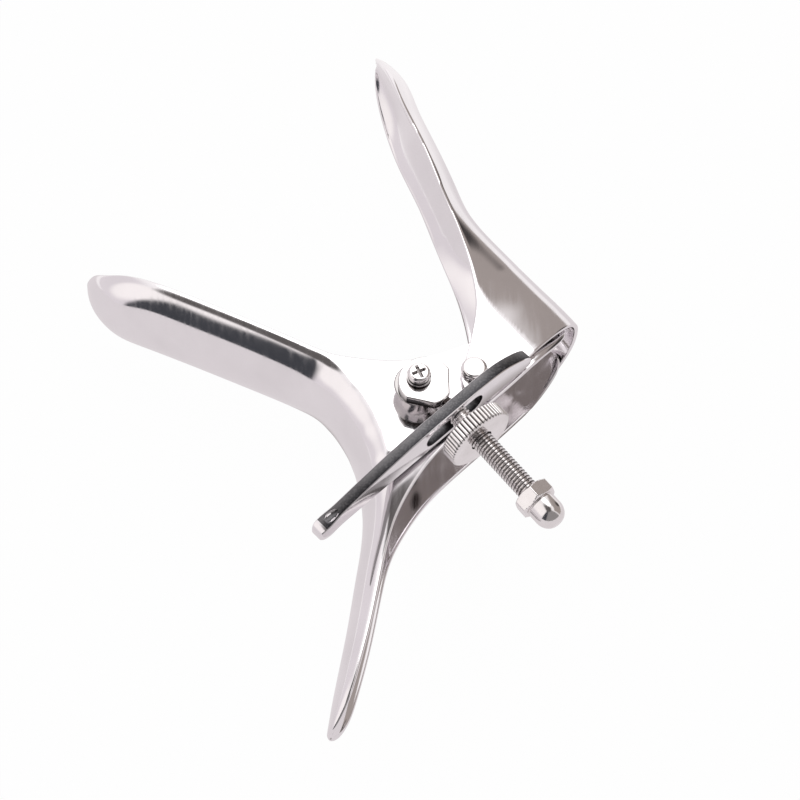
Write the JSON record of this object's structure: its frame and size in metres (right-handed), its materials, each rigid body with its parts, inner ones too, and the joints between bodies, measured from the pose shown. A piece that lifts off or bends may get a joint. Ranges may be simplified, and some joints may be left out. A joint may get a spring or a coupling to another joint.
{
  "type": "vaginal speculum",
  "caption": "Bivalve vaginal speculum of polished steel with a slotted lever, a swivelling threaded rod and a knurled thumb nut, shown open",
  "frame": {"origin": "under the middle of the part's bounding box, at the level of the far rivet head on which the part lies", "axes": "+Z along the hinge pin's axis towards the side with the screw, +Y towards the tip of the upper blade, +X towards the collar's open end"},
  "size_m": [0.1406, 0.218, 0.0504],
  "materials": {
    "polished_steel": "mirror polished sheet steel",
    "plated_steel": "bright plated turned steel"
  },
  "bodies": {
    "lower_valve": {"lower_valve": "polished_steel", "hinge_rivet_near": "plated_steel", "hinge_rivet_far": "plated_steel", "pivot_boss": "plated_steel", "pivot_screw": "plated_steel", "spring_washer": "plated_steel"},
    "upper_valve": {"upper_valve": "polished_steel", "opening_lever": "polished_steel"},
    "screw_rod": {"threaded_rod": "plated_steel", "dome_nut": "plated_steel"},
    "thumb_nut": {"knurled_nut": "plated_steel"}
  },
  "joints": [
    {"name": "valve_hinge", "type": "hinge", "parent": "lower_valve", "child": "upper_valve", "pos_m": [0.03936, -0.00847, 0.0188], "axis": [0, 0, 1], "range_deg": [-5, 56]},
    {"name": "rod_swivel", "type": "hinge", "parent": "lower_valve", "child": "screw_rod", "pos_m": [0.02396, -0.01467, 0.04055], "axis": [0, 0, 1], "range_deg": [-6, 42]},
    {"name": "nut_travel", "type": "slide", "parent": "screw_rod", "child": "thumb_nut", "axis": [0.628, -0.7782, 0], "range_m": [-0.0013, 0.0135]}
  ],
  "couplings": [
    {"joint": "rod_swivel", "follows": "valve_hinge", "ratio": 0.7},
    {"joint": "nut_travel", "follows": "valve_hinge", "m_per_rad": 0.0125}
  ]
}
